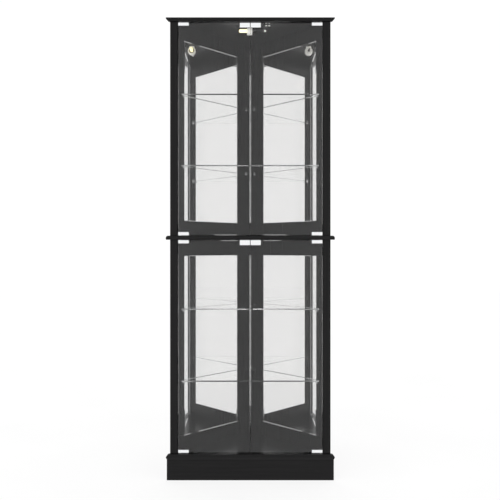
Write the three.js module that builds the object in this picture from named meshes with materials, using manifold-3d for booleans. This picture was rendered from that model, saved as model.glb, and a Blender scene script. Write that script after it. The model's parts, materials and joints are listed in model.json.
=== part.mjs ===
// Corner curio cabinet: two glazed display units, one above the other, with a mirrored right-angle back.
// Millimetres, +Z up, front towards -Y. Origin: middle of the footprint's box, on the floor.
// In plan, "depth" is measured backwards from the front face of the posts, and "half" is measured
// sideways from the centre line. The two walls stand at 45 degrees and meet at the back.

import * as THREE from "three";
import { mergeVertices } from "three/addons/utils/BufferGeometryUtils.js";
import Module from "manifold-3d";

const wasm = await Module();
wasm.setup();

// ---- Driving dimensions ----

// Carcass
const postOuterHalf = 313.5; // centre line to the outer side of a post
const postWidth = 28.5;
const postThickness = 15;
const postBevelDepth = 7.5; // depth at which a post's outer side is cut back to the line of the wall
const wallThickness = 15;
const unitHeight = 836; // clear height of each display unit
const plinthHeight = 78;
const bottomBoardThickness = 22;
const midBoardThickness = 16;
const topBoardThickness = 12;
const boardOverhang = 15; // how far the moulded edges stand out past the posts
const midBoardRound = 8; // how far the middle board's upper edge is rounded back
const plinthOverhang = 11.5;
const plinthBoardThickness = 16;

// Mirrors, let into the walls
const mirrorCornerMargin = 77; // along the wall, from the back corner to the mirror
const mirrorPostMargin = 33; // along the wall, from the mirror to the end at the post
const mirrorBottomRail = 57; // wall below each mirror
const mirrorTopRail = 60; // wall above it
const mirrorThickness = 3;
const mirrorRecess = 3.5;

// Shelves and their pins
const shelfThickness = 5;
const shelfFrontDepth = 23.5;
const shelfCornerClip = 9;
const shelfTipCut = 2;
const lowerShelfHeights = [276, 560]; // underside of the glass above the unit's floor
const upperShelfHeights = [274.5, 555.5];
const pinRadius = 2.5;
const pinEmbed = 8;
const pinHeadRadius = 4;
const pinHeadLength = 9;
const pinFromCorner = 30; // along the wall, back corner to the rear pin
const pinFromPost = 26; // along the wall, post end to the front pin

// Doors
const doorGlass = 5;
const doorFrontDepth = 5; // depth of the glass's front face
const doorPostGap = 2.7;
const doorMeetingGap = 2.2; // between the two doors

// Hinge clips and strike plates, both channels that grip the edge of the glass
const clipLength = 41.5;
const clipHeight = 13.2;
const clipCheek = 2.7; // metal on each side of the glass
const clipBoardGap = 1; // between a clip and the board it turns against
const clipWeb = 1.2;
const pivotInset = 6.5; // hinge pin's axis from the outer edge of the glass
const pivotRadius = 3;
const pivotEmbed = 8;
const strikeLength = 40;
const strikeHeight = 20;
const strikeCheek = 1.2;
const strikeInset = 0.1; // from the free edge of the glass

// Slim double touch latches behind the strike plates
const latchLength = 64;
const latchHeight = 13;
const latchDepth = 12;
const plungerRadius = 3.5;
const plungerSpacing = 36;
const plungerReach = 3; // how far a plunger stands out of its housing
const plungerEmbed = 6;
const plungerTravel = 2.5;

// Lamp under the crown
const lampBehindLatch = 2.7;
const lampFootHeight = 4; // from the crown to the holder
const lampHolderRadius = 16.5;
const lampHolderLength = 21;
const lampHolderX = 8; // right-hand end of the holder
const lampFootWidth = 12;
const lampFootDepth = 22;
const lampFootOverlap = 5; // how far the foot runs into the round holder
const bulbRadius = 6.6;
const bulbLength = 32; // outside the holder
const bulbNeckRadius = 5;
const bulbNeckLength = 8; // inside the holder

// Clearances
const seatGap = 0.3; // between pieces cut to fit each other
const pinClearance = 0.3;
const pivotClearance = 0.4;
const shelfWallGap = 2;
const restGap = 0.1; // under glass that rests on pins
const roundSides = 24;
const smallSides = 12;

// ---- Values that follow ----

const bottomBoardZ = plinthHeight;
const lowerFloor = bottomBoardZ + bottomBoardThickness;
const midBoardZ = lowerFloor + unitHeight;
const upperFloor = midBoardZ + midBoardThickness;
const topBoardZ = upperFloor + unitHeight;
const diagonal = Math.SQRT2;
const outerLine = postOuterHalf + postBevelDepth; // half + depth on the walls' outer faces
const wallLine = outerLine - wallThickness * diagonal; // half + depth on their inner faces
const wallEndHalf = wallLine - postThickness; // inner face of a wall where it meets its post
const wallLength = wallEndHalf * diagonal; // inner face, back corner to post
const postInnerHalf = postOuterHalf - postWidth;
const frontDepth = -boardOverhang;
const depthToOrigin = (outerLine + frontDepth) / 2;
const mirrorEnd = wallLength - mirrorPostMargin;
const mirrorHeight = unitHeight - mirrorBottomRail - mirrorTopRail;
const doorOuterHalf = postInnerHalf - doorPostGap;
const doorInnerHalf = doorMeetingGap / 2;
const doorMidDepth = doorFrontDepth + doorGlass / 2;
const doorEndGap = clipBoardGap + clipWeb + seatGap;
const doorHeight = unitHeight - 2 * doorEndGap;
const slotWidth = doorGlass + 2 * seatGap;
const strikeBack = doorMidDepth + slotWidth / 2 + strikeCheek;
const latchFront = strikeBack + seatGap + plungerReach;
const lampZ = topBoardZ - lampFootHeight - lampHolderRadius;
const lampDepth = latchFront + latchDepth + lampBehindLatch + lampHolderRadius;
const pivotHalf = doorOuterHalf - pivotInset;
const units = [
  { name: "lower", floor: lowerFloor, shelves: lowerShelfHeights },
  { name: "upper", floor: upperFloor, shelves: upperShelfHeights },
];
const sides = [
  { name: "left", sign: -1 },
  { name: "right", sign: 1 },
];

// ---- Finishes ----

const finish = (color, roughness, metalness = 0) => ({ color, roughness, metalness });
const darkLaminate = finish(0x262628, 0.35);
const mirrorGlass = finish(0xf2f4f5, 0.03, 1);
const clearGlass = finish(0xdfe8e6, 0.05);
const chrome = finish(0xe4e6e8, 0.1, 1);
const blackPlastic = finish(0x18181a, 0.45);
const lampWhite = finish(0xe8e6e0, 0.25);
const bulbGlass = finish(0xfff2dc, 0.1);

// ---- Solids ----

// A closed three.js geometry as a solid that can be joined and cut.
function solidOf(geometry) {
  geometry.deleteAttribute("normal");
  geometry.deleteAttribute("uv");
  const merged = mergeVertices(geometry, 1e-4);
  return new wasm.Manifold(
    new wasm.Mesh({
      numProp: 3,
      vertProperties: merged.getAttribute("position").array,
      triVerts: new Uint32Array(merged.index.array),
    }),
  );
}

// The geometry of a finished solid.
function geometryOf(solid) {
  const mesh = solid.getMesh();
  const count = mesh.vertProperties.length / mesh.numProp;
  const positions = new Float32Array(count * 3);
  for (let i = 0; i < count; i++) {
    for (let k = 0; k < 3; k++) {
      positions[i * 3 + k] = mesh.vertProperties[i * mesh.numProp + k];
    }
  }
  const geometry = new THREE.BufferGeometry();
  geometry.setAttribute("position", new THREE.BufferAttribute(positions, 3));
  geometry.setIndex(new THREE.BufferAttribute(mesh.triVerts, 1));
  const flat = geometry.toNonIndexed();
  flat.computeVertexNormals();
  return flat;
}

// An upright prism over a plan outline of [x, depth] points.
function prism(outline, bottom, height) {
  const shape = new THREE.Shape(outline.map(([x, y]) => new THREE.Vector2(x, y)));
  const geometry = new THREE.ExtrudeGeometry(shape, { depth: height, bevelEnabled: false });
  return solidOf(geometry.translate(0, 0, bottom));
}

// A box between two corners.
function box(low, high) {
  const size = high.map((value, k) => value - low[k]);
  const middle = high.map((value, k) => (value + low[k]) / 2);
  return solidOf(new THREE.BoxGeometry(...size).translate(...middle));
}

// A round bar from one point along a direction.
function bar(start, direction, length, radius, segments = smallSides) {
  const geometry = new THREE.CylinderGeometry(radius, radius, length, segments);
  geometry.translate(0, length / 2, 0);
  const turn = new THREE.Quaternion().setFromUnitVectors(
    new THREE.Vector3(0, 1, 0),
    new THREE.Vector3(...direction).normalize(),
  );
  return solidOf(geometry.applyQuaternion(turn).translate(...start));
}

// A turned piece: profile points are [radius, distance along the direction], from axis to axis.
function turned(start, direction, profile, segments = roundSides) {
  const points = profile.map(([r, d]) => new THREE.Vector2(r, d));
  const geometry = new THREE.LatheGeometry(points, segments);
  const turn = new THREE.Quaternion().setFromUnitVectors(
    new THREE.Vector3(0, 1, 0),
    new THREE.Vector3(...direction).normalize(),
  );
  return solidOf(geometry.applyQuaternion(turn).translate(...start));
}

// An outline of [a, b] points extruded along an axis: "x" takes them as [depth, z], "y" as [x, z].
function sweep(outline, axis, half) {
  const shape = new THREE.Shape(outline.map(([a, b]) => new THREE.Vector2(a, b)));
  const geometry = new THREE.ExtrudeGeometry(shape, { depth: 2 * half, bevelEnabled: false });
  geometry.translate(0, 0, -half);
  const across = axis === "x" ? [0, 1, 0] : [1, 0, 0];
  const along = axis === "x" ? [1, 0, 0] : [0, -1, 0];
  const basis = new THREE.Matrix4().makeBasis(
    new THREE.Vector3(...across),
    new THREE.Vector3(0, 0, 1),
    new THREE.Vector3(...along),
  );
  return solidOf(geometry.applyMatrix4(basis));
}

// Points of a quarter round from angle a to angle b about a centre.
function arc(centreA, centreB, radiusA, radiusB, from, to, steps = 5) {
  const points = [];
  for (let i = 0; i <= steps; i++) {
    const angle = from + ((to - from) * i) / steps;
    points.push([centreA + radiusA * Math.cos(angle), centreB + radiusB * Math.sin(angle)]);
  }
  return points;
}

// ---- Carcass ----

const farAway = 600;

// The plan of a board that lies on both walls, with square returns at its front corners.
function boardPlan(overhang) {
  const half = postOuterHalf + overhang;
  return [
    [-half, -overhang],
    [half, -overhang],
    [half, outerLine - half],
    [0, outerLine],
    [-half, outerLine - half],
  ];
}

// A board whose front and side edges follow a moulding profile of [overhang, z] points, bottom to top.
function mouldedBoard(plan, profile) {
  const [, bottom] = profile[0];
  const [, top] = profile[profile.length - 1];
  const front = [
    ...profile.map(([overhang, z]) => [-overhang, z]),
    [farAway, top],
    [farAway, bottom],
  ];
  const across = [
    ...profile.map(([overhang, z]) => [postOuterHalf + overhang, z]),
    ...profile.map(([overhang, z]) => [-postOuterHalf - overhang, z]).reverse(),
  ];
  return prism(plan, bottom, top - bottom)
    .intersect(sweep(front, "x", farAway))
    .intersect(sweep(across, "y", farAway));
}

// The crown: a thin square lip over a slope that runs in to the posts.
function crownProfile() {
  const top = topBoardZ + topBoardThickness;
  const slope = topBoardThickness * 0.6;
  return [
    [boardOverhang / 3, topBoardZ],
    [boardOverhang / 2, topBoardZ + 1],
    [boardOverhang - 1, topBoardZ + slope],
    [boardOverhang, topBoardZ + slope + 0.5],
    [boardOverhang, top],
  ];
}

// The middle board: widest near its underside, rounded above.
function midProfile() {
  const round = midBoardThickness * 0.6;
  const flat = midBoardThickness - round;
  return [
    [boardOverhang - 1.5, midBoardZ],
    [boardOverhang, midBoardZ + 1.5],
    ...arc(boardOverhang - midBoardRound, midBoardZ + flat, midBoardRound, round, 0, Math.PI / 2),
  ];
}

// The bottom board: a blunt nose with a long slope above it, over a short return to the plinth.
function bottomProfile() {
  const nose = bottomBoardThickness / 2;
  const top = bottomBoardZ + bottomBoardThickness;
  return [
    [plinthOverhang, bottomBoardZ],
    [plinthOverhang, bottomBoardZ + 2],
    [boardOverhang, bottomBoardZ + nose],
    [boardOverhang, bottomBoardZ + nose + 2],
    [boardOverhang / 2 + 1, top - 1],
    [boardOverhang / 2, top],
  ];
}

// Holes for the hinge pins, drilled into a board upwards (1) or downwards (-1) from a face.
function pivotHoles(faceZ, direction) {
  return sides.map(({ sign }) =>
    bar(
      [sign * pivotHalf, doorMidDepth, faceZ - direction],
      [0, 0, direction],
      pivotEmbed + 2,
      pivotRadius + pivotClearance,
    ),
  );
}

function topBoard() {
  const board = mouldedBoard(boardPlan(boardOverhang), crownProfile());
  return pivotHoles(topBoardZ, 1).reduce((piece, hole) => piece.subtract(hole), board);
}

// The middle board passes over the posts and fits between the walls, which run through.
function midBoard() {
  const half = postOuterHalf + boardOverhang;
  const neck = postThickness - seatGap;
  const inner = wallLine - seatGap * diagonal;
  const plan = [
    [-half, -boardOverhang],
    [half, -boardOverhang],
    [half, outerLine - half],
    [outerLine - neck, neck],
    [inner - neck, neck],
    [0, inner],
    [neck - inner, neck],
    [neck - outerLine, neck],
    [-half, outerLine - half],
  ];
  const holes = [...pivotHoles(midBoardZ, 1), ...pivotHoles(upperFloor, -1)];
  return holes.reduce((piece, hole) => piece.subtract(hole), mouldedBoard(plan, midProfile()));
}

function bottomBoard() {
  const board = mouldedBoard(boardPlan(boardOverhang), bottomProfile());
  return pivotHoles(lowerFloor, -1).reduce((piece, hole) => piece.subtract(hole), board);
}

// A post between two boards, its outer back edge cut to the line of the wall.
function post(sign, floor) {
  const back = outerLine - postOuterHalf;
  const outline = [
    [postInnerHalf, 0],
    [postOuterHalf, 0],
    [postOuterHalf, back],
    [outerLine - postThickness, postThickness],
    [postInnerHalf, postThickness],
  ].map(([half, depth]) => [sign * half, depth]);
  return prism(outline, floor, unitHeight);
}

// A point on a wall: distance along it from the back corner, and out from its inner face into the room.
function onWall(sign, along, out, line = wallLine) {
  const half = (along - out) / diagonal;
  return [sign * half, line - (along + out) / diagonal];
}

// A block on a wall, between two distances along it and two distances out from its face.
function wallBox(sign, from, to, innerOut, outerOut, bottom, height) {
  const outline = [
    onWall(sign, from, innerOut),
    onWall(sign, to, innerOut),
    onWall(sign, to, outerOut),
    onWall(sign, from, outerOut),
  ];
  return prism(outline, bottom, height);
}

// Directions square to a wall, into the cabinet and out of it.
function inward(sign) {
  return [-sign / diagonal, -1 / diagonal, 0];
}

function outward(sign) {
  return inward(sign).map((value) => -value);
}

// Where each of a unit's pins meets its wall: distance along the wall, and height of its axis.
function shelfPinPlaces(unit) {
  return unit.shelves.flatMap((height, index) => {
    const z = unit.floor + height - restGap - pinHeadRadius;
    const number = index + 1;
    return [
      { name: `${unit.name}_shelf_${number}_rear_pin`, along: pinFromCorner, z },
      { name: `${unit.name}_shelf_${number}_front_pin`, along: wallLength - pinFromPost, z },
    ];
  });
}

// A panel along one side of the corner, cut square at the back and parallel to the front at its front
// end. The left one runs through at the corner, and the right one butts against it.
function cornerPanel(sign, line, thickness, front, bottom, height) {
  const cornerEnd = sign < 0 ? -thickness : seatGap;
  const outer = line + thickness * diagonal;
  const outline = [
    onWall(sign, cornerEnd, 0, line),
    [sign * (line - front), front],
    [sign * (outer - front), front],
    onWall(sign, cornerEnd, -thickness, line),
  ];
  return prism(outline, bottom, height);
}

// One wall from the bottom board to the crown, with its mirror recesses and pin holes.
function wall(sign) {
  const height = topBoardZ - lowerFloor;
  let piece = cornerPanel(sign, wallLine, wallThickness, postThickness, lowerFloor, height);
  for (const unit of units) {
    const low = unit.floor + mirrorBottomRail;
    const recess = wallBox(sign, mirrorCornerMargin, mirrorEnd, mirrorRecess, -mirrorRecess, low, mirrorHeight);
    piece = piece.subtract(recess);
    for (const { along, z } of shelfPinPlaces(unit)) {
      const [x, depth] = onWall(sign, along, mirrorRecess);
      const drilled = mirrorRecess + pinEmbed + seatGap;
      const hole = bar([x, depth, z], outward(sign), drilled, pinRadius + pinClearance);
      piece = piece.subtract(hole);
    }
  }
  return piece;
}

// A mirror bedded against the back of its recess.
function mirror(sign, unit) {
  const back = seatGap - mirrorRecess;
  const low = unit.floor + mirrorBottomRail + seatGap;
  const height = mirrorHeight - 2 * seatGap;
  return wallBox(sign, mirrorCornerMargin + seatGap, mirrorEnd - seatGap, back + mirrorThickness, back, low, height);
}

function plinthFront() {
  const half = postOuterHalf + plinthOverhang;
  const back = plinthBoardThickness - plinthOverhang;
  const outline = [
    [-half, -plinthOverhang],
    [half, -plinthOverhang],
    [half, outerLine - half],
    [outerLine - back, back],
    [back - outerLine, back],
    [-half, outerLine - half],
  ];
  return prism(outline, 0, plinthHeight);
}

// The plinth's side boards stand under the walls.
function plinthSide(sign) {
  const line = outerLine - plinthBoardThickness * diagonal;
  const front = plinthBoardThickness - plinthOverhang + seatGap;
  return cornerPanel(sign, line, plinthBoardThickness, front, 0, plinthHeight);
}

// ---- Shelves ----

function shelf(unit, height) {
  const line = wallLine - shelfWallGap * diagonal;
  const tip = line - shelfFrontDepth - shelfTipCut;
  const outline = [
    [-tip, shelfFrontDepth],
    [tip, shelfFrontDepth],
    [tip, shelfFrontDepth + shelfTipCut],
    [shelfCornerClip, line - shelfCornerClip],
    [-shelfCornerClip, line - shelfCornerClip],
    [-tip, shelfFrontDepth + shelfTipCut],
  ];
  return prism(outline, unit.floor + height, shelfThickness);
}

// A pin with a plain shank in the wall and a wider head under the glass.
function shelfPin(sign, along, z) {
  const [x, depth] = onWall(sign, along, -pinEmbed);
  const face = pinEmbed + seatGap;
  const end = face + pinHeadLength;
  const profile = [
    [0, 0],
    [pinRadius, 0],
    [pinRadius, face],
    [pinHeadRadius, face],
    [pinHeadRadius, end - 1],
    [pinHeadRadius - 1, end],
    [0, end],
  ];
  return turned([x, depth, z], inward(sign), profile, smallSides);
}

// ---- Doors ----

function doorPane(sign, unit) {
  const low = [doorInnerHalf, doorFrontDepth, unit.floor + doorEndGap];
  const high = [doorOuterHalf, doorFrontDepth + doorGlass, unit.floor + doorEndGap + doorHeight];
  return sidedBox(sign, low, high);
}

// A box given for the right-hand side, mirrored for the left.
function sidedBox(sign, low, high) {
  if (sign > 0) return box(low, high);
  return box([-high[0], low[1], low[2]], [-low[0], high[1], high[2]]);
}

// A metal channel over the end of a pane, next to the board above it (up = 1) or below it (up = -1).
function glassChannel(sign, fromHalf, toHalf, cheek, height, boardFace, up) {
  const front = doorMidDepth - slotWidth / 2 - cheek;
  const back = doorMidDepth + slotWidth / 2 + cheek;
  const end = boardFace - up * clipBoardGap;
  const mouth = end - up * height;
  const web = end - up * clipWeb;
  const pastMouth = mouth - up;
  const channel = sidedBox(
    sign,
    [fromHalf, front, Math.min(end, mouth)],
    [toHalf, back, Math.max(end, mouth)],
  );
  const slot = sidedBox(
    sign,
    [fromHalf - 1, doorMidDepth - slotWidth / 2, Math.min(web, pastMouth)],
    [toHalf + 1, doorMidDepth + slotWidth / 2, Math.max(web, pastMouth)],
  );
  return channel.subtract(slot);
}

// A hinge clip on the outer corner of a pane, with the pin that turns in the board.
function hingeClip(sign, boardFace, up) {
  const from = doorOuterHalf - clipLength;
  const clip = glassChannel(sign, from, doorOuterHalf, clipCheek, clipHeight, boardFace, up);
  const root = boardFace - up * (clipBoardGap + clipWeb / 2);
  const length = clipWeb / 2 + clipBoardGap + pivotEmbed;
  const pin = bar([sign * pivotHalf, doorMidDepth, root], [0, 0, up], length, pivotRadius);
  return clip.add(pin);
}

function strikePlate(sign, unit) {
  const from = doorInnerHalf + strikeInset;
  const face = unit.floor + unitHeight;
  return glassChannel(sign, from, from + strikeLength, strikeCheek, strikeHeight, face, 1);
}

// ---- Touch latches ----

function latchHousing(unit) {
  const face = unit.floor + unitHeight;
  const housing = box(
    [-latchLength / 2, latchFront, face - latchHeight],
    [latchLength / 2, latchFront + latchDepth, face],
  );
  return sides.reduce((piece, { sign }) => {
    const start = [(sign * plungerSpacing) / 2, latchFront - 1, face - latchHeight / 2];
    const depth = 1 + plungerEmbed + plungerTravel + seatGap;
    return piece.subtract(bar(start, [0, 1, 0], depth, plungerRadius + pinClearance, roundSides));
  }, housing);
}

function latchPlunger(sign, unit) {
  const z = unit.floor + unitHeight - latchHeight / 2;
  const tip = 1;
  const profile = [
    [0, 0],
    [plungerRadius - tip, 0],
    [plungerRadius, tip],
    [plungerRadius, plungerReach + plungerEmbed],
    [0, plungerReach + plungerEmbed],
  ];
  return turned([(sign * plungerSpacing) / 2, latchFront - plungerReach, z], [0, 1, 0], profile);
}

// ---- Lamp ----

// The holder lies along X under the crown, its socket opening to the left.
function lampHolder() {
  const round = 2;
  const bore = bulbNeckRadius + pinClearance;
  const profile = [
    [0, 0],
    [lampHolderRadius - round, 0],
    [lampHolderRadius, round],
    [lampHolderRadius, lampHolderLength - round],
    [lampHolderRadius - round, lampHolderLength],
    [bore, lampHolderLength],
    [bore, lampHolderLength - bulbNeckLength - seatGap],
    [0, lampHolderLength - bulbNeckLength - seatGap],
  ];
  const body = turned([lampHolderX, lampDepth, lampZ], [-1, 0, 0], profile);
  const middle = lampHolderX - lampHolderLength / 2;
  const foot = box(
    [middle - lampFootWidth / 2, lampDepth - lampFootDepth / 2, lampZ + lampHolderRadius - lampFootOverlap],
    [middle + lampFootWidth / 2, lampDepth + lampFootDepth / 2, topBoardZ],
  );
  return body.add(foot);
}

// A tubular bulb with a domed end and a narrower neck in the socket.
function bulb() {
  const shoulder = bulbNeckLength + seatGap;
  const straight = shoulder + bulbLength - bulbRadius;
  const dome = arc(0, straight, bulbRadius, bulbRadius, 0, Math.PI / 2).slice(0, -1);
  const profile = [
    [0, 0],
    [bulbNeckRadius, 0],
    [bulbNeckRadius, shoulder],
    [bulbRadius, shoulder],
    ...dome,
    [0, straight + bulbRadius],
  ];
  const start = lampHolderX - lampHolderLength + bulbNeckLength;
  return turned([start, lampDepth, lampZ], [-1, 0, 0], profile);
}

// ---- Assembly ----

const cabinet = new THREE.Group();
cabinet.position.y = -depthToOrigin;

function add(name, solid, { color, roughness, metalness }) {
  const material = new THREE.MeshStandardMaterial({ color, roughness, metalness });
  const mesh = new THREE.Mesh(geometryOf(solid), material);
  mesh.name = name;
  cabinet.add(mesh);
}

add("top_board", topBoard(), darkLaminate);
add("mid_board", midBoard(), darkLaminate);
add("bottom_board", bottomBoard(), darkLaminate);
add("plinth_front", plinthFront(), darkLaminate);
add("lamp_holder", lampHolder(), lampWhite);
add("lamp_bulb", bulb(), bulbGlass);

for (const { name: side, sign } of sides) {
  add(`plinth_side_${side}`, plinthSide(sign), darkLaminate);
  add(`wall_${side}`, wall(sign), darkLaminate);
}

for (const unit of units) {
  const { name, floor, shelves } = unit;
  const ceiling = floor + unitHeight;
  shelves.forEach((height, index) => add(`${name}_shelf_${index + 1}`, shelf(unit, height), clearGlass));
  add(`${name}_latch_housing`, latchHousing(unit), blackPlastic);
  for (const { name: side, sign } of sides) {
    add(`${name}_post_${side}`, post(sign, floor), darkLaminate);
    add(`${name}_mirror_${side}`, mirror(sign, unit), mirrorGlass);
    for (const pin of shelfPinPlaces(unit)) {
      add(`${pin.name}_${side}`, shelfPin(sign, pin.along, pin.z), chrome);
    }
    add(`${name}_door_glass_${side}`, doorPane(sign, unit), clearGlass);
    add(`${name}_door_top_hinge_${side}`, hingeClip(sign, ceiling, 1), chrome);
    add(`${name}_door_bottom_hinge_${side}`, hingeClip(sign, floor, -1), chrome);
    add(`${name}_door_strike_${side}`, strikePlate(sign, unit), chrome);
    add(`${name}_latch_plunger_${side}`, latchPlunger(sign, unit), blackPlastic);
  }
}

export default cabinet;
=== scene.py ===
import json
import math

import bmesh
import bpy
from mathutils import Matrix, Vector

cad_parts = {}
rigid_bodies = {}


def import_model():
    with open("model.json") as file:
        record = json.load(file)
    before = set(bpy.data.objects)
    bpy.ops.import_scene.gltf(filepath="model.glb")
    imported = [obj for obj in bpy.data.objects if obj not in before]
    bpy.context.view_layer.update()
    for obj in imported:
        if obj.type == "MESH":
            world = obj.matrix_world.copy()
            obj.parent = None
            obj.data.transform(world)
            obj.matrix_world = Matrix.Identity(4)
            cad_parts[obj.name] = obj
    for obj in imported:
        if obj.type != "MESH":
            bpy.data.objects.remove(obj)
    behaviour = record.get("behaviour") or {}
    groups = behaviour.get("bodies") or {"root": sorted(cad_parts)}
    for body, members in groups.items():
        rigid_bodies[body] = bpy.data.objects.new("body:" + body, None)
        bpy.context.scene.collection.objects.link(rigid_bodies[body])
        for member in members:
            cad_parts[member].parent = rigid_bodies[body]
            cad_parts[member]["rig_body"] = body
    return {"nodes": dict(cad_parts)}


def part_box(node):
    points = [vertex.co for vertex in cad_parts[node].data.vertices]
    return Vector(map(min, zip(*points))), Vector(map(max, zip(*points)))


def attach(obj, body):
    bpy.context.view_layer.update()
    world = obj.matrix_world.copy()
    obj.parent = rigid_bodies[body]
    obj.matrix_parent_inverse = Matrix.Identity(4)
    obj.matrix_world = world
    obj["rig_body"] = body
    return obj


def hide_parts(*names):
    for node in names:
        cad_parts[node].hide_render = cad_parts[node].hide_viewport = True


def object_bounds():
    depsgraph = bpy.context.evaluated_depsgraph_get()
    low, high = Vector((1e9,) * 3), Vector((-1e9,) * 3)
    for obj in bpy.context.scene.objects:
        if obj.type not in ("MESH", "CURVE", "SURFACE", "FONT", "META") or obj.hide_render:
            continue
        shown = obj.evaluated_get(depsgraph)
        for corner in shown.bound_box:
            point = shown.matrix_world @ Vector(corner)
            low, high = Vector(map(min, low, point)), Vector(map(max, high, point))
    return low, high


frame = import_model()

CAD_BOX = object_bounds()
MM = 0.001

# ---- Camera, floor and light ----

CAMERA_DISTANCE = 2.6075  # in front of the middle of the footprint
CAMERA_HEIGHT = 0.896
CAMERA_SIDE = -0.0012  # to the right of the middle
CAMERA_LENS = 45.22
SENSOR_WIDTH = 36
SURROUND_LIGHT = 1.02
FLOOR_REACH = 12  # from the middle to each side


def make_camera():
    data = bpy.data.cameras.new("camera")
    data.lens = CAMERA_LENS
    data.sensor_width = SENSOR_WIDTH
    camera = bpy.data.objects.new("camera", data)
    camera.location = (CAMERA_SIDE, -CAMERA_DISTANCE, CAMERA_HEIGHT)
    camera.rotation_euler = (math.radians(90), 0, 0)
    bpy.context.scene.collection.objects.link(camera)
    bpy.context.scene.camera = camera


make_camera()


# ---- Shader maths ----


class Socket:
    """A shader output that can be used in Python arithmetic."""

    def __init__(self, finish, output):
        self.finish = finish
        self.output = output

    def _with(self, operation, first, second):
        return self.finish.node("ShaderNodeMath", {"operation": operation}, {0: first, 1: second})[0]

    def __add__(self, other):
        return self._with("ADD", self, other)

    def __mul__(self, other):
        return self._with("MULTIPLY", self, other)

    __radd__ = __add__
    __rmul__ = __mul__


class Finish:
    """A material under construction around one Principled shader."""

    def __init__(self, name, **even):
        self.material = bpy.data.materials.new(name)
        self.material.use_nodes = True
        self.nodes = self.material.node_tree.nodes
        self.links = self.material.node_tree.links
        self.shader = self.nodes["Principled BSDF"]
        for socket, value in even.items():
            self.shader.inputs[socket.replace("_", " ")].default_value = value

    def node(self, kind, settings=None, inputs=None):
        """Adds a node, sets it up, joins its inputs, and returns its outputs."""
        made = self.nodes.new(kind)
        for key, value in (settings or {}).items():
            if key == "stops":
                self._ramp(made.color_ramp, value)
            else:
                setattr(made, key, value)
        for key, value in (inputs or {}).items():
            if isinstance(value, Socket):
                self.links.new(value.output, made.inputs[key])
            else:
                made.inputs[key].default_value = value
        return [Socket(self, output) for output in made.outputs if output.enabled]

    @staticmethod
    def _ramp(ramp, stops):
        for index, (position, colour) in enumerate(stops):
            stop = ramp.elements[index] if index < 2 else ramp.elements.new(position)
            stop.position = position
            stop.color = (*colour, 1)

    def place(self, scale=(1, 1, 1)):
        """Object coordinates, stretched."""
        coordinates = self.node("ShaderNodeTexCoord")[3]
        inputs = {"Vector": coordinates, "Scale": scale}
        return self.node("ShaderNodeMapping", None, inputs)[0]

    def noise(self, vector, scale, detail=4.0, roughness=0.5):
        inputs = {"Vector": vector, "Scale": scale, "Detail": detail, "Roughness": roughness}
        return self.node("ShaderNodeTexNoise", None, inputs)[0]

    def ramp(self, value, *stops):
        """Grey or coloured steps over a value; each stop is (position, grey or colour)."""
        coloured = [(at, (c, c, c) if isinstance(c, (int, float)) else c) for at, c in stops]
        return self.node("ShaderNodeValToRGB", {"stops": coloured}, {"Fac": value})[0]

    def drive(self, socket, value):
        self.links.new(value.output, self.shader.inputs[socket])
        return self

    def bump(self, height, distance, strength=1.0):
        inputs = {"Height": height, "Distance": distance, "Strength": strength}
        return self.drive("Normal", self.node("ShaderNodeBump", None, inputs)[0])


GLASS_INDEX = 1.5


def dark_laminate(name, grain):
    """Near-black laminate with a fine printed grain; grain is the stretch of its pattern along X, Y and Z."""
    finish = Finish(name, Specular_IOR_Level=0.16)
    streaks = finish.noise(finish.place(grain), 1.0, 6.0, 0.62)
    pores = finish.noise(finish.place(tuple(4 * s for s in grain)), 1.0, 3.0, 0.5)
    tone = streaks * 0.75 + pores * 0.25
    shades = (
        (0.3, (0.0055, 0.0053, 0.0056)),
        (0.52, (0.0075, 0.0072, 0.0075)),
        (0.72, (0.0105, 0.01, 0.0104)),
    )
    finish.drive("Base Color", finish.ramp(tone, *shades))
    finish.drive("Roughness", 0.17 + pores * 0.14)
    finish.bump(tone, 0.06 * MM, 0.3)
    return finish.material


def clear_glass(name, tint, ior, **even):
    """Clear float glass with the faintest haze of handling."""
    finish = Finish(name, Transmission_Weight=1.0, IOR=ior, **even)
    finish.shader.inputs["Base Color"].default_value = (*tint, 1)
    haze = finish.noise(finish.place(), 9.0, 3.0)
    finish.drive("Roughness", finish.ramp(haze, (0.55, 0.0), (0.9, 0.01)))
    return finish


def ground_edge():
    """The finely ground edge of a sheet of glass, seen from outside or through its faces."""
    finish = Finish("shelf_side_edge", Transmission_Weight=0.9, IOR=GLASS_INDEX)
    grind = finish.noise(finish.place(), 900.0, 3.0)
    finish.drive("Base Color", finish.ramp(grind, (0.3, (0.46, 0.5, 0.485)), (0.7, (0.56, 0.6, 0.585))))
    finish.drive("Roughness", 0.05 + grind * 0.1)
    finish.bump(grind, 0.02 * MM, 0.5)
    return finish.material


def low_glare(finish, tint):
    """Lets glass be seen through, rather than mirror its surroundings, where it is met edge-on."""
    facing = finish.node("ShaderNodeLayerWeight", None, {"Blend": 0.5})[1]
    share = finish.ramp(facing, (0.62, 0.0), (0.86, 0.9))
    glass = Socket(finish, finish.shader.outputs[0])
    clear = finish.node("ShaderNodeBsdfTransparent", None, {"Color": (*tint, 1)})[0]
    blend = finish.node("ShaderNodeMixShader", None, {"Fac": share, 1: glass, 2: clear})[0]
    finish.links.new(blend.output, finish.nodes["Material Output"].inputs["Surface"])
    return finish


def silver():
    """The silver layer behind mirror glass."""
    finish = Finish("mirror_silver", Metallic=1.0, Roughness=0.0)
    cloud = finish.noise(finish.place(), 5.0, 2.0)
    finish.drive("Base Color", finish.ramp(cloud, (0.3, (0.897, 0.895, 0.893)), (0.7, (0.907, 0.905, 0.903))))
    return finish.material


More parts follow.
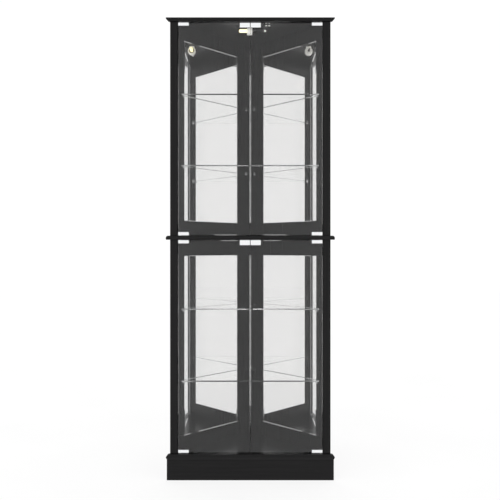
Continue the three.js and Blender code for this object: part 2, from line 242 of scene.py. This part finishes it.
def bright_metal(name, tones, roughness, stretch):
    """Plated or bare metal with fine polishing marks."""
    finish = Finish(name, Metallic=1.0)
    marks = finish.noise(finish.place(stretch), 1.0, 2.0)
    finish.drive("Base Color", finish.ramp(marks, (0.3, tones[0]), (0.7, tones[1])))
    finish.drive("Roughness", roughness + marks * 0.08)
    finish.bump(marks, 0.01 * MM, 0.2)
    return finish.material


def moulded_plastic(name, colour, roughness):
    """Moulded plastic with a fine spark-eroded texture."""
    finish = Finish(name, Specular_IOR_Level=0.4)
    grain = finish.noise(finish.place(), 1400.0, 2.0)
    dark = tuple(0.8 * c for c in colour)
    finish.drive("Base Color", finish.ramp(grain, (0.3, dark), (0.7, colour)))
    finish.drive("Roughness", roughness + grain * 0.12)
    finish.bump(grain, 0.03 * MM, 0.5)
    return finish.material


def white_enamel_with_painted_glow():
    """White enamel with a painted glow: it gives off light of its own so that it looks bright beside the lit
    bulb, though it is no lamp.
    """
    finish = Finish("lamp_white", Roughness=0.18, Emission_Strength=0.35)
    mottle = finish.noise(finish.place(), 220.0, 3.0)
    finish.drive("Base Color", finish.ramp(mottle, (0.3, (0.84, 0.84, 0.8)), (0.7, (0.93, 0.93, 0.9))))
    # painted glow: this emission colour and the emission strength above make the enamel shine by itself,
    # standing in for light from the bulb
    finish.drive("Emission Color", finish.ramp(mottle, (0.3, (0.95, 0.93, 0.86)), (0.7, (1.0, 0.98, 0.92))))
    return finish.material


def lit_bulb():
    """Frosted bulb glass, lit warm from inside."""
    finish = Finish("bulb_glass", Emission_Strength=1.5, Roughness=0.25)
    frost = finish.noise(finish.place(), 160.0, 3.0)
    finish.drive("Base Color", finish.ramp(frost, (0.3, (0.85, 0.82, 0.74)), (0.7, (0.95, 0.93, 0.86))))
    finish.drive("Emission Color", finish.ramp(frost, (0.3, (1.0, 0.86, 0.44)), (0.7, (1.0, 0.92, 0.56))))
    return finish.material


def raw_wood():
    """Planed softwood for the blocks under the bottom board."""
    finish = Finish("raw_wood", Specular_IOR_Level=0.25)
    rings = finish.noise(finish.place((9, 160, 160)), 1.0, 5.0, 0.6)
    finish.drive("Base Color", finish.ramp(rings, (0.3, (0.36, 0.22, 0.11)), (0.7, (0.6, 0.43, 0.25))))
    finish.drive("Roughness", 0.6 + rings * 0.2)
    finish.bump(rings, 0.2 * MM, 0.5)
    return finish.material


def pale_floor():
    finish = Finish("pale_floor", Roughness=0.4, Specular_IOR_Level=0.0, Emission_Strength=0.79)
    clouds = finish.noise(finish.place(), 2.0, 2.0)
    finish.drive("Base Color", finish.ramp(clouds, (0.3, 0.215), (0.7, 0.225)))
    finish.drive("Emission Color", finish.ramp(clouds, (0.3, 0.99), (0.7, 1.0)))
    return finish.material


LAMINATE_UPRIGHT = dark_laminate("dark_laminate_upright", (110, 110, 3.5))
LAMINATE_ACROSS = dark_laminate("dark_laminate_across", (3.5, 110, 110))
DOOR_INDEX = 1.38  # lower than plain glass, so that the doors show less of their surroundings
DOOR_TINT = (0.986, 0.986, 0.986)
DOOR_CLEAR_TINT = (0.971, 0.971, 0.971)
DOOR_GLASS = low_glare(clear_glass("door_glass", DOOR_TINT, DOOR_INDEX), DOOR_CLEAR_TINT).material
DOOR_EDGE = clear_glass("door_glass_edge", DOOR_TINT, DOOR_INDEX).material
SHELF_GLASS = clear_glass("shelf_glass", (0.975, 0.982, 0.978), GLASS_INDEX).material
SHELF_FRONT = clear_glass("shelf_front_edge", (0.97, 0.982, 0.977), GLASS_INDEX, Alpha=0.25).material
SHELF_SIDE = ground_edge()
MIRROR_GLASS = clear_glass("mirror_front_glass", (0.995, 0.995, 0.995), GLASS_INDEX).material
SILVER = silver()
CHROME = bright_metal("chrome", ((0.86, 0.87, 0.88), (0.93, 0.935, 0.94)), 0.05, (900, 4000, 4000))
STEEL = bright_metal("steel", ((0.5, 0.5, 0.51), (0.66, 0.66, 0.67)), 0.22, (2600, 2600, 2600))
BLACK_PLASTIC = moulded_plastic("black_plastic", (0.02, 0.02, 0.021), 0.4)
SOFT_PAD = moulded_plastic("soft_pad", (0.05, 0.05, 0.052), 0.6)
NYLON = moulded_plastic("nylon", (0.6, 0.6, 0.57), 0.35)
# white enamel with a painted glow, used on the lamp holder, tail cap, foot and lamp screws
LAMP_WHITE_PAINTED_GLOW = white_enamel_with_painted_glow()
BULB = lit_bulb()
RAW_WOOD = raw_wood()


def make_surroundings():
    world = bpy.data.worlds.new("soft_studio")
    bpy.context.scene.world = world
    world.use_nodes = True
    background = world.node_tree.nodes["Background"]
    background.inputs["Color"].default_value = (1, 1, 1, 1)
    background.inputs["Strength"].default_value = SURROUND_LIGHT
    mesh = bpy.data.meshes.new("floor")
    corners = [(x * FLOOR_REACH, y * FLOOR_REACH, 0) for x, y in ((-1, -1), (1, -1), (1, 1), (-1, 1))]
    mesh.from_pydata(corners, [], [(0, 1, 2, 3)])
    floor = bpy.data.objects.new("floor", mesh)
    floor.data.materials.append(pale_floor())
    bpy.context.scene.collection.objects.link(floor)
    bpy.context.scene.view_settings.view_transform = "Standard"
    cycles = bpy.context.scene.cycles
    cycles.max_bounces = 32
    cycles.transmission_bounces = 32
    cycles.glossy_bounces = 16


make_surroundings()


# ---- Making pieces ----

WELD_DISTANCE = 2e-6  # corners closer than this are one
FLAT_ANGLE = math.radians(0.4)  # faces that meet flatter than this are one
EDGE_ANGLE = math.radians(25)  # edges sharper than this are softened
CREASE_ANGLE = math.radians(38)  # edges sharper than this stay crisp on turned pieces


def new_piece(name, mesh, *materials):
    for material in materials:
        mesh.materials.append(material)
    piece = bpy.data.objects.new(name, mesh)
    bpy.context.scene.collection.objects.link(piece)
    return piece


def plain(piece):
    """The piece with its modifiers worked into its mesh."""
    bpy.context.view_layer.update()
    evaluated = piece.evaluated_get(bpy.context.evaluated_depsgraph_get())
    mesh = bpy.data.meshes.new_from_object(evaluated)
    piece.modifiers.clear()
    piece.data = mesh
    return piece


def soften(piece, width, steps=2, smooth=False):
    """Takes the sharpness off every edge."""
    for polygon in piece.data.polygons:
        polygon.use_smooth = smooth
    bevel = piece.modifiers.new("softened", "BEVEL")
    bevel.width = width
    bevel.segments = steps
    bevel.limit_method = "ANGLE"
    bevel.angle_limit = EDGE_ANGLE
    bevel.harden_normals = smooth
    return plain(piece)


def settle(piece, body, slot, *nodes):
    """Fixes a finished piece to its body, in place of the CAD nodes it stands for."""
    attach(piece, body)
    if nodes:
        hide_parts(*nodes)
    return piece


def welded(node):
    """A CAD node's shape with its triangles joined and its flat faces made whole."""
    source = frame["nodes"][node].data
    shape = bmesh.new()
    corners = [shape.verts.new(vertex.co) for vertex in source.vertices]
    for polygon in source.polygons:
        shape.faces.new([corners[index] for index in polygon.vertices])
    bmesh.ops.remove_doubles(shape, verts=shape.verts, dist=WELD_DISTANCE)
    bmesh.ops.dissolve_limit(shape, angle_limit=FLAT_ANGLE, verts=shape.verts, edges=shape.edges)
    bmesh.ops.recalc_face_normals(shape, faces=shape.faces)
    mesh = bpy.data.meshes.new(node + "_finished")
    shape.to_mesh(mesh)
    shape.free()
    return mesh


def body_of(node):
    return frame["nodes"][node]["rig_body"]


def refine(node, material, slot, width, steps=2, smooth=False):
    """Stands a softened copy in for a CAD node."""
    piece = soften(new_piece(node + "_finished", welded(node), material), width, steps, smooth)
    return settle(piece, body_of(node), slot, node)


def in_mm(rings):
    return [(radius * MM, height * MM) for radius, height in rings]


def lathed(name, rings, count=32):
    """A closed turned shape about Z. Each ring is (radius, height), either of them a number or a function
    of the angle; the first and last rings are closed with a middle point."""

    def at(value, angle):
        return value(angle) if callable(value) else value

    points = []
    for radius, height in rings:
        for step in range(count):
            angle = 2 * math.pi * step / count
            far = at(radius, angle)
            points.append((far * math.cos(angle), far * math.sin(angle), at(height, angle)))
    faces = []
    for ring in range(len(rings) - 1):
        for step in range(count):
            after = (step + 1) % count
            low = ring * count
            faces.append((low + step, low + after, low + count + after, low + count + step))
    for ring, turn in ((0, -1), (len(rings) - 1, 1)):
        heights = [points[ring * count + step][2] for step in range(count)]
        points.append((0, 0, sum(heights) / count))
        for step in range(count):
            pair = (ring * count + step, ring * count + (step + 1) % count)
            faces.append((*pair[::turn], len(points) - 1))
    mesh = bpy.data.meshes.new(name)
    mesh.from_pydata(points, [], faces)
    for polygon in mesh.polygons:
        polygon.use_smooth = True
    mesh.set_sharp_from_angle(angle=CREASE_ANGLE)
    return mesh


def set_at(mesh, place, direction):
    """Turns a mesh made about Z to point along a direction, and moves it to its place."""
    turn = Vector(direction).to_track_quat("Z", "Y").to_matrix().to_4x4()
    mesh.transform(Matrix.Translation(Vector(place)) @ turn)
    return mesh


def blocks(name, *boxes):
    """One mesh of several blocks, each given by two corners."""
    points = []
    faces = []
    for low, high in boxes:
        start = len(points)
        for index in range(8):
            points.append(tuple((high if index >> k & 1 else low)[k] for k in range(3)))
        sides = ((0, 2, 3, 1), (4, 5, 7, 6), (0, 1, 5, 4), (2, 6, 7, 3), (0, 4, 6, 2), (1, 3, 7, 5))
        faces += [tuple(start + corner for corner in side) for side in sides]
    mesh = bpy.data.meshes.new(name)
    mesh.from_pydata(points, [], faces)
    return mesh


# ---- Repeated fittings, set out with Geometry Nodes ----


def repeat_tree():
    """Sets one fitting at every point of a mesh, along the point's own direction, with a random turn."""
    tree = bpy.data.node_groups.new("repeated_fitting", "GeometryNodeTree")
    for name, kind in (
        ("Geometry", "NodeSocketGeometry"),
        ("Fitting", "NodeSocketObject"),
        ("Finish", "NodeSocketMaterial"),
        ("Greatest turn", "NodeSocketFloat"),
        ("Seed", "NodeSocketInt"),
    ):
        tree.interface.new_socket(name, in_out="INPUT", socket_type=kind)
    tree.interface.new_socket("Geometry", in_out="OUTPUT", socket_type="NodeSocketGeometry")

    def add(kind, inputs=None, **settings):
        node = tree.nodes.new(kind)
        for key, value in settings.items():
            setattr(node, key, value)
        for key, value in (inputs or {}).items():
            if isinstance(value, bpy.types.NodeSocket):
                tree.links.new(value, node.inputs[key])
            else:
                node.inputs[key].default_value = value
        return node

    given = add("NodeGroupInput").outputs
    facing = add("GeometryNodeInputNamedAttribute", {"Name": "facing"}, data_type="FLOAT_VECTOR")
    aligned = add("FunctionNodeAlignRotationToVector", {"Vector": facing.outputs["Attribute"]}, axis="Z")
    turn = add("FunctionNodeRandomValue", {"Seed": given["Seed"]}, data_type="FLOAT")
    tree.links.new(given["Greatest turn"], turn.inputs[3])
    spin = add("FunctionNodeAxisAngleToRotation", {"Axis": (0, 0, 1), "Angle": turn.outputs[1]})
    turned = add(
        "FunctionNodeRotateRotation",
        {"Rotation": aligned.outputs[0], "Rotate By": spin.outputs[0]}, rotation_space="LOCAL",
    )
    fitting = add("GeometryNodeObjectInfo", {"Object": given["Fitting"]})
    placed = add("GeometryNodeInstanceOnPoints", {
        "Points": given["Geometry"], "Instance": fitting.outputs["Geometry"], "Rotation": turned.outputs[0],
    })
    real = add("GeometryNodeRealizeInstances", {"Geometry": placed.outputs[0]})
    painted = add("GeometryNodeSetMaterial", {"Geometry": real.outputs[0], "Material": given["Finish"]})
    add("NodeGroupOutput", {"Geometry": painted.outputs[0]})
    return tree


REPEATED = repeat_tree()


FREE_TURN = 6.0  # nearly a whole turn, for round fittings


def repeated(name, mesh, places, material, body, slot, nodes=(), turn=0.0, seed=1):
    """One piece of like fittings; places are (point, direction) pairs."""
    points = bpy.data.meshes.new(name)
    points.from_pydata([tuple(point) for point, direction in places], [], [])
    facing = points.attributes.new("facing", "FLOAT_VECTOR", "POINT")
    facing.data.foreach_set("vector", [value for point, direction in places for value in direction])
    fitting = bpy.data.objects.new(name + "_pattern", mesh)
    piece = new_piece(name, points)
    modifier = piece.modifiers.new("repeated", "NODES")
    modifier.node_group = REPEATED
    values = {"Fitting": fitting, "Finish": material, "Greatest turn": turn, "Seed": seed}
    for item in REPEATED.interface.items_tree:
        if item.in_out == "INPUT" and item.name in values:
            modifier[item.identifier] = values[item.name]
    plain(piece)
    bpy.data.objects.remove(fitting)
    return settle(piece, body, slot, *nodes)


def screw(name, radius, height):
    """A domed screw head with a cross recess, standing on Z = 0."""

    def sunk(share):
        def rise(angle):
            across = radius * share * abs(math.cos(angle))
            along = radius * share * abs(math.sin(angle))
            in_cross = min(across, along) < radius * 0.13 and share < 0.62
            dome = height * (1 - 0.55 * share * share)
            return dome - (height * 0.5 if in_cross else 0)
        return rise

    shares = (0.92, 0.75, 0.6, 0.5, 0.4, 0.3, 0.2, 0.1)
    rings = [(radius * 0.9, 0), (radius, 0), (radius, height * 0.3)]
    return lathed(name, rings + [(radius * share, sunk(share)) for share in shares], 40)


def socket_screw(name, radius, height):
    """A flat-ended set screw with a six-sided socket."""

    def hexagon(angle):
        return radius * 0.5 / math.cos((angle + math.pi / 6) % (math.pi / 3) - math.pi / 6)

    rings = [(radius, 0), (radius, height * 0.8), (radius * 0.9, height)]
    rings += [(hexagon, height), (hexagon, 0.2 * height)]
    return lathed(name, rings, 36)


# ---- Carcass ----

SIDES = (("left", -1), ("right", 1))
FACES = {
    "lower": (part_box("bottom_board")[1].z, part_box("mid_board")[0].z),
    "upper": (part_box("mid_board")[1].z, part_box("top_board")[0].z),
}
NODES = list(frame["nodes"])
PINS = [node for node in NODES if "_pin_" in node]

for node in NODES:
    if "wall" in node or "post" in node:
        refine(node, LAMINATE_UPRIGHT, "dark_laminate", 0.5 * MM)
    elif node.endswith("board") or "plinth" in node:
        refine(node, LAMINATE_ACROSS, "dark_laminate", 0.7 * MM)


def wall_frame(sign):
    """The way into the cabinet from a wall, and the way along it from the corner to the post."""
    root = math.sqrt(0.5)
    return Vector((-sign * root, -root, 0)), Vector((sign * root, -root, 0))


# ---- Mirrors: glass with a narrow polished bevel in front of the silver ----


def sheet(name, node, inward, along, levels):
    """An upright sheet on a wall. Each level is (how far in front of the node's back, how far in from its
    edges), from the back to the front."""
    corners = [vertex.co for vertex in frame["nodes"][node].data.vertices]
    back = min(corner.dot(inward) for corner in corners)
    near, far = (pick(corner.dot(along) for corner in corners) for pick in (min, max))
    bottom, top = (pick(corner.z for corner in corners) for pick in (min, max))
    points = []
    for out, inset in levels:
        for a, z in ((near + inset, bottom + inset), (far - inset, bottom + inset),
                     (far - inset, top - inset), (near + inset, top - inset)):
            points.append(inward * (back + out) + along * a + Vector((0, 0, z)))
    faces = [(0, 1, 2, 3), tuple(len(points) - 4 + corner for corner in (3, 2, 1, 0))]
    for level in range(len(levels) - 1):
        for corner in range(4):
            after = (corner + 1) % 4
            low = level * 4
            faces.append((low + corner, low + 4 + corner, low + 4 + after, low + after))
    mesh = bpy.data.meshes.new(name)
    mesh.from_pydata(points, [], faces)
    shape = bmesh.new()
    shape.from_mesh(mesh)
    bmesh.ops.recalc_face_normals(shape, faces=shape.faces)
    shape.to_mesh(mesh)
    shape.free()
    return mesh


MIRROR_THICKNESS = 3 * MM
MIRROR_BEVEL = 3.6 * MM  # width of the polished bevel round each mirror
MIRROR_BEVEL_DEPTH = 2.3 * MM
MIRROR_GLASS_BACK = 0.25 * MM  # just in front of the silver

for unit in FACES:
    for side, sign in SIDES:
        node = f"{unit}_mirror_{side}"
        inward, along = wall_frame(sign)
        levels = (
            (MIRROR_GLASS_BACK, 0.2 * MM),
            (MIRROR_GLASS_BACK + 0.1 * MM, 0),
            (MIRROR_THICKNESS - MIRROR_BEVEL_DEPTH, 0),
            (MIRROR_THICKNESS, MIRROR_BEVEL),
        )
        glass = new_piece(node + "_glass", sheet("mirror_glass", node, inward, along, levels), MIRROR_GLASS)
        settle(glass, "cabinet", "mirror_glass", node)
        levels = ((0, 0.4 * MM), (0.03 * MM, 0.3 * MM), (0.2 * MM, 0.3 * MM))
        backing = new_piece(node + "_silver", sheet("silver", node, inward, along, levels), SILVER)
        settle(backing, "cabinet", "mirror_glass")


# ---- Shelves and their pins ----

for unit in FACES:
    for number in (1, 2):
        plate = refine(f"{unit}_shelf_{number}", SHELF_GLASS, "clear_glass", 0.7 * MM, 1)
        plate.data.materials.append(SHELF_FRONT)
        plate.data.materials.append(SHELF_SIDE)
        for polygon in plate.data.polygons:
            if abs(polygon.normal.z) < 0.99:
                polygon.material_index = 1 if polygon.normal.y < -0.6 else 2


PIN_LENGTH = 17.3  # millimetres


def pin_mesh():
    """A shelf pin: plain shank, collar against the wall, and a head with a soft ring near its end."""
    rings = [
        (1.9, 0), (2.5, 0.6), (2.5, 8.0), (2.5, 8.3), (3.7, 8.3), (4.0, 8.6), (4.0, 10.2), (3.5, 10.5),
        (3.5, 12.2), (3.95, 12.5), (4.0, 13.3), (3.95, 14.1), (3.5, 14.4), (3.5, 15.2), (3.9, 15.5),
        (3.9, 16.4), (3.3, 17.1), (1.8, PIN_LENGTH),
    ]
    return lathed("shelf_pin", in_mm(rings), 28)


def pin_places():
    places = []
    for node in PINS:
        low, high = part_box(node)
        inward, _ = wall_frame(-1 if node.endswith("left") else 1)
        places.append(((low + high) / 2 - inward * PIN_LENGTH * MM / 2, inward))
    return places


repeated("shelf_pins", pin_mesh(), pin_places(), STEEL, "cabinet", "chrome", PINS, FREE_TURN, 3)


# ---- Doors ----


SET_SCREW_DROP = 8.5 * MM  # from the board to the clips' set screws
PIVOT_INSET = 6.5 * MM  # from a clip's outer end to its hinge pin
PACKING_THICKNESS = 0.26 * MM
PACKING_GAP = 0.01 * MM  # between the packing and the glass
PACKING_END = 0.8 * MM  # from a channel's ends


def gasket_boxes(node, glass, board_face, up):
    """Soft packing between a metal channel and the glass it grips, showing as a thin line at its mouth."""
    low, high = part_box(node)
    glass_low, glass_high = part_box(glass)
    end = board_face - up * 2.25 * MM
    mouth = (low.z if up > 0 else high.z) - up * 0.5 * MM
    bottom, top = sorted((end, mouth))
    left = low.x + PACKING_END
    right = min(high.x, glass_high.x) - PACKING_END
    return [
        ((left, glass_low.y - PACKING_THICKNESS, bottom), (right, glass_low.y - PACKING_GAP, top)),
        ((left, glass_high.y + PACKING_GAP, bottom), (right, glass_high.y + PACKING_THICKNESS, top)),
    ]


for unit, (floor, ceiling) in FACES.items():
    for side, sign in SIDES:
        door = f"{unit}_door_{side}"
        glass = f"{unit}_door_glass_{side}"
        pane = refine(glass, DOOR_GLASS, "clear_glass", 1.25 * MM, 1)
        pane.data.materials.append(DOOR_EDGE)
        for polygon in pane.data.polygons:
            polygon.material_index = int(abs(polygon.normal.y) < 0.99)
        packing = []
        set_screws = []
        washers = []
        for end, face, up in (("top", ceiling, 1), ("bottom", floor, -1)):
            clip = f"{unit}_door_{end}_hinge_{side}"
            refine(clip, CHROME, "chrome", 0.6 * MM, 3, True)
            packing += gasket_boxes(clip, glass, face, up)
            low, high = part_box(clip)
            height = face - up * SET_SCREW_DROP
            for share in (0.22, 0.78):
                spot = Vector((low.x + (high.x - low.x) * share, high.y - 0.5 * MM, height))
                set_screws.append((spot, (0, 1, 0)))
            pivot = sign * (max(abs(low.x), abs(high.x)) - PIVOT_INSET)
            washers.append(((pivot, (low.y + high.y) / 2, face - up * 0.92 * MM), (0, 0, up)))
        strike = f"{unit}_door_strike_{side}"
        refine(strike, CHROME, "chrome", 0.35 * MM, 3, True)
        packing += gasket_boxes(strike, glass, ceiling, 1)
        pads = new_piece(door + "_packing", blocks("packing", *packing), SOFT_PAD)
        settle(soften(pads, 0.05 * MM, 1), door, "latch_plastic")
        repeated(door + "_set_screws", socket_screw("set_screw", 2.2 * MM, 0.9 * MM), set_screws,
                 STEEL, door, "chrome", (), FREE_TURN, 5)
        washer = [(3.1, 0), (5.2, 0), (5.4, 0.15), (5.4, 0.7), (5.2, 0.84), (3.1, 0.84)]
        washer_mesh = lathed("washer", in_mm(washer))
        repeated(door + "_washers", washer_mesh, washers, NYLON, door, "latch_plastic")


# ---- Touch latches ----

for unit in FACES:
    housing = f"{unit}_latch_housing"
    refine(housing, BLACK_PLASTIC, "latch_plastic", 0.6 * MM, 2, True)
    low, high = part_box(housing)
    middle = (low.y + high.y) / 2
    spots = [((x, middle, low.z + 0.05 * MM), (0, 0, -1)) for x in (low.x + 6 * MM, high.x - 6 * MM)]
    repeated(f"{unit}_latch_screws", screw("latch_screw", 2.6 * MM, 1.1 * MM), spots,
             STEEL, "cabinet", "chrome", (), FREE_TURN, 7)
    for side, _ in SIDES:
        refine(f"{unit}_latch_plunger_{side}", BLACK_PLASTIC, "latch_plastic", 0.3 * MM, 2, True)


# ---- Lamp ----


def lamp():
    """A lit tubular bulb in a white round holder, with a bar behind it that is fixed to the crown."""
    low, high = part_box("lamp_holder")
    bulb_low, bulb_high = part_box("lamp_bulb")
    crown = FACES["upper"][1]
    axis = Vector((high.x, (bulb_low.y + bulb_high.y) / 2, (bulb_low.z + bulb_high.z) / 2))
    left = (-1, 0, 0)
    count = 64  # faces round the holder
    cap_offset = 46.3 * MM
    holder_rings = [
        (5.0, 1.2), (12.5, 1.2), (13.0, 0.2), (15.3, 0), (16.2, 0.5), (16.5, 1.6), (16.5, 15.5), (16.1, 16.1),
        (16.5, 16.7), (16.5, 20.2), (16.2, 20.8), (15.7, 21.0), (12.0, 20.6), (11.5, 20.0), (11.2, 12.0),
        (10.5, 8.5), (8.6, 7.0), (8.4, 12.6), (7.9, 13.0), (5.5, 13.0), (5.4, 12.6),
    ]
    holder = lathed("holder", in_mm(holder_rings), count)
    rim = 13  # the last ring of the bright outside and rim; the cup within is black
    for index, polygon in enumerate(holder.polygons):
        polygon.material_index = int(rim * count <= index < (len(holder_rings) - 1) * count)
    set_at(holder, axis, left)
    piece = new_piece("lamp_holder_finished", holder, LAMP_WHITE_PAINTED_GLOW, BLACK_PLASTIC)
    settle(piece, "cabinet", "lamp_white", "lamp_holder")
    length = (bulb_high.x - bulb_low.x) / MM
    radius = 6.6
    bulb_rings = [(3.5, 0), (4.9, 0.5), (4.9, 8.2), (6.0, 8.8), (radius, 9.8), (radius, length - radius)]
    for angle in map(math.radians, range(15, 85, 15)):
        bulb_rings.append((radius * math.cos(angle), length - radius + radius * math.sin(angle)))
    start = Vector((bulb_high.x, axis.y, axis.z))
    tube = set_at(lathed("bulb", in_mm(bulb_rings), 40), start, left)
    settle(new_piece("lamp_bulb_finished", tube, BULB), "cabinet", "bulb_glass", "lamp_bulb")
    tail_rings = [(4.0, 0), (4.6, 0.6), (4.6, 6.0), (3.2, 7.5), (3.2, 46.0), (3.0, 46.5)]
    tail = set_at(lathed("tail", in_mm(tail_rings)), axis, (1, 0, 0))
    settle(new_piece("lamp_tail", tail, BLACK_PLASTIC), "cabinet", "latch_plastic")
    cap_rings = [(3.6, 0), (4.4, 0.4), (4.4, 6.0), (4.0, 7.4), (2.6, 8.4), (1.0, 8.8)]
    cap_place = axis + Vector((cap_offset, 0, 0))
    cap = set_at(lathed("cap", in_mm(cap_rings)), cap_place, (1, 0, 0))
    settle(new_piece("lamp_tail_cap", cap, LAMP_WHITE_PAINTED_GLOW), "cabinet", "lamp_white")
    foot_low = Vector((low.x + 4.5 * MM, axis.y - 11 * MM, axis.z + 11.5 * MM))
    foot_high = Vector((high.x - 4.5 * MM, axis.y + 11 * MM, crown - 0.02 * MM))
    foot = new_piece("lamp_foot", blocks("foot", (foot_low, foot_high)), LAMP_WHITE_PAINTED_GLOW)
    settle(soften(foot, 1.2 * MM, 3, True), "cabinet", "lamp_white")
    fore = axis.y - 6 * MM
    plate_low = Vector((high.x + 48 * MM, fore - 6 * MM, crown - 1.4 * MM))
    plate_high = Vector((high.x + 73 * MM, axis.y + 4 * MM, crown - 0.02 * MM))
    strap_low = Vector((high.x + 48 * MM, axis.y - 3 * MM, axis.z - 1 * MM))
    strap_high = Vector((high.x + 49.4 * MM, axis.y + 3 * MM, crown - 1 * MM))
    parts = ((plate_low, plate_high), (strap_low, strap_high))
    bracket = new_piece("lamp_bracket", blocks("bracket", *parts), BLACK_PLASTIC)
    settle(soften(bracket, 0.4 * MM, 2), "cabinet", "latch_plastic")
    spots = [((high.x + shift * MM, fore, crown - 1.3 * MM), (0, 0, -1)) for shift in (55, 67)]
    heads = screw("lamp_screw", 3.7 * MM, 2.6 * MM)
    repeated("lamp_screws", heads, spots, LAMP_WHITE_PAINTED_GLOW, "cabinet", "lamp_white", (), FREE_TURN, 11)


lamp()


# ---- Out of sight: screws through the back, and blocks and feet inside the plinth ----


BACK_WIDTH = 0.43  # along each wall's outer face
SCREW_MARGIN = 14 * MM  # from the walls' ends to their outer rows of screws


def back_screws():
    """Rows of screws where the walls are fixed to the boards, on their outer faces."""
    places = []
    corner = Vector((0, CAD_BOX[1][1], 0))
    for side, sign in SIDES:
        inward, along = wall_frame(sign)
        heights = (
            FACES["lower"][0] + SCREW_MARGIN,
            (FACES["lower"][1] + FACES["upper"][0]) / 2,
            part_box(f"wall_{side}")[1].z - SCREW_MARGIN,
        )
        for height in heights:
            for share in (0.12, 0.38, 0.63, 0.88):
                spot = corner + along * (BACK_WIDTH * share)
                places.append(((spot.x, spot.y, height), tuple(-inward)))
    return places


back_screw = screw("back_screw", 3.6 * MM, 1.2 * MM)
repeated("back_screws", back_screw, back_screws(), STEEL, "cabinet", "chrome", (), FREE_TURN, 13)


BLOCK_PLACES = (-0.2, 0.0, 0.2)  # along the plinth's front
BLOCK_HALF_WIDTH = 0.03
BLOCK_DEPTH = 0.024
BLOCK_HEIGHT = 0.03


def plinth_blocks():
    """Softwood blocks behind the plinth's front, each with a levelling foot under it."""
    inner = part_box("plinth_front")[1].y + 0.2 * MM
    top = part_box("bottom_board")[0].z
    boxes = []
    for middle in BLOCK_PLACES:
        low = (middle - BLOCK_HALF_WIDTH, inner, top - BLOCK_HEIGHT)
        boxes.append((low, (middle + BLOCK_HALF_WIDTH, inner + BLOCK_DEPTH, top - 0.2 * MM)))
    piece = new_piece("plinth_blocks", blocks("plinth_blocks", *boxes), RAW_WOOD)
    settle(soften(piece, 0.8 * MM, 2), "cabinet", "dark_laminate")
    foot = [(9, 0.3), (11, 1), (11, 3), (9.5, 4.5), (5, 5.5), (3, 6.5), (3, 48)]
    spots = [((middle, inner + BLOCK_DEPTH / 2, 0), (0, 0, 1)) for middle in BLOCK_PLACES]
    feet = lathed("foot", in_mm(foot))
    repeated("levelling_feet", feet, spots, STEEL, "cabinet", "chrome", (), FREE_TURN, 17)


plinth_blocks()
